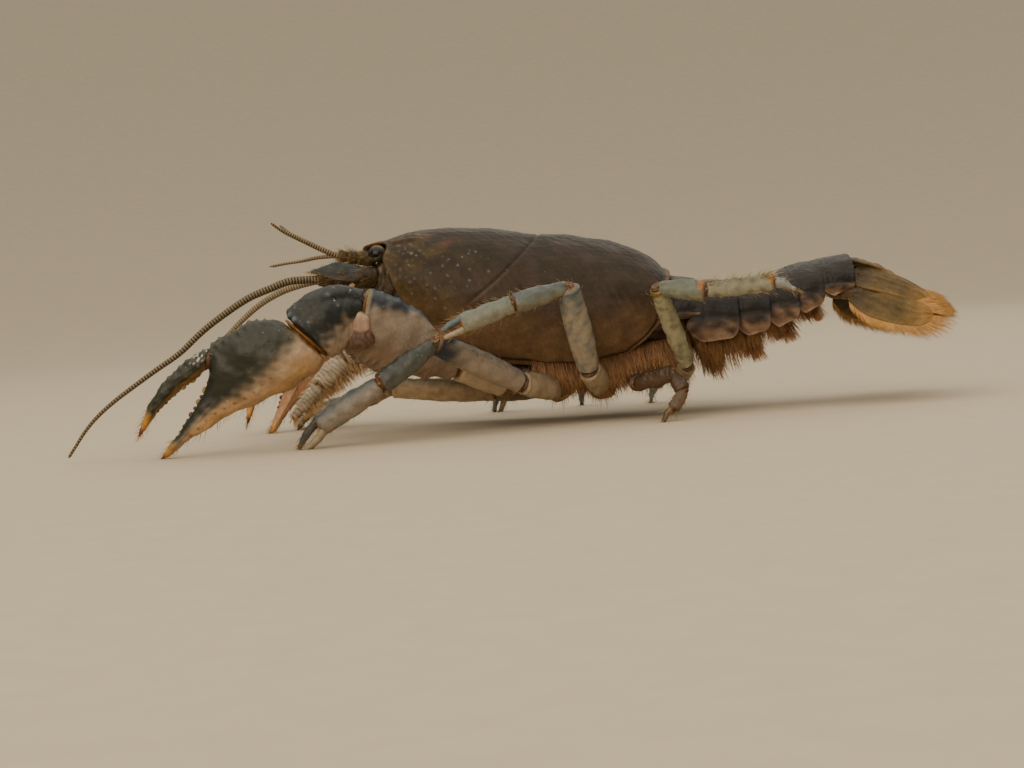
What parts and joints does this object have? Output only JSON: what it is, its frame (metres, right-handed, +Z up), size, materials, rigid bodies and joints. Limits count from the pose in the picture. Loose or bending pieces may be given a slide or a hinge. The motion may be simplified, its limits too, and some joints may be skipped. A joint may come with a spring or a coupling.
{
  "type": "piedmont blue burrower crayfish",
  "caption": "Life-size burrowing crayfish standing on its feet, claws lowered in front, with a domed shell cut by a slanting groove, a ringed tail over swimmerets and a drooping fringed fan.",
  "frame": {"origin": "on the floor, under the middle of the whole animal's box", "axes": "+Z up from the floor; the head points along -X and the tail fan along +X; the animal's left side faces -Y"},
  "size_m": [0.0858, 0.0382, 0.0216],
  "materials": {
    "shell": "satin brown-black shell",
    "tail": "satin blue-black rings",
    "fan": "matt olive-brown plates",
    "belly": "matt red-brown skin and bristles",
    "claw": "satin green-black to beige",
    "limb": "satin grey-blue to beige",
    "feeler": "satin brown",
    "mouth": "matt cream",
    "eye": "glossy black"
  },
  "bodies": {
    "root": {"head_shell": "shell", "thorax_shell": "shell", "eye_left": "eye", "eye_right": "eye", "underbelly": "belly", "tail_segment_1": "tail", "tail_segment_2": "tail", "tail_segment_3": "tail", "tail_segment_4": "tail", "tail_segment_5": "tail", "tail_segment_6": "tail", "telson": "fan", "uropod_inner_left": "fan", "uropod_inner_right": "fan", "uropod_outer_left": "fan", "uropod_outer_right": "fan", "claw_left_arm": "claw", "claw_left_wrist": "claw", "claw_left_hand": "claw", "claw_left_thumb": "claw", "claw_right_arm": "claw", "claw_right_wrist": "claw", "claw_right_hand": "claw", "claw_right_thumb": "claw", "leg_left_2_thigh": "limb", "leg_left_2_shin": "limb", "leg_left_2_toe": "limb", "leg_left_3_thigh": "limb", "leg_left_3_shin": "limb", "leg_left_3_toe": "limb", "leg_left_4_thigh": "limb", "leg_left_4_shin": "limb", "leg_left_4_toe": "limb", "leg_left_5_thigh": "limb", "leg_left_5_shin": "limb", "leg_left_5_toe": "limb", "leg_right_2_thigh": "limb", "leg_right_2_shin": "limb", "leg_right_2_toe": "limb", "leg_right_3_thigh": "limb", "leg_right_3_shin": "limb", "leg_right_3_toe": "limb", "leg_right_4_thigh": "limb", "leg_right_4_shin": "limb", "leg_right_4_toe": "limb", "leg_right_5_thigh": "limb", "leg_right_5_shin": "limb", "leg_right_5_toe": "limb", "antenna_base_left": "feeler", "antenna_base_right": "feeler", "antenna_whip_left": "feeler", "antenna_whip_right": "feeler", "antennule_left": "feeler", "antennule_right": "feeler", "maxilliped_left": "mouth", "maxilliped_right": "mouth"}
  },
  "joints": []
}
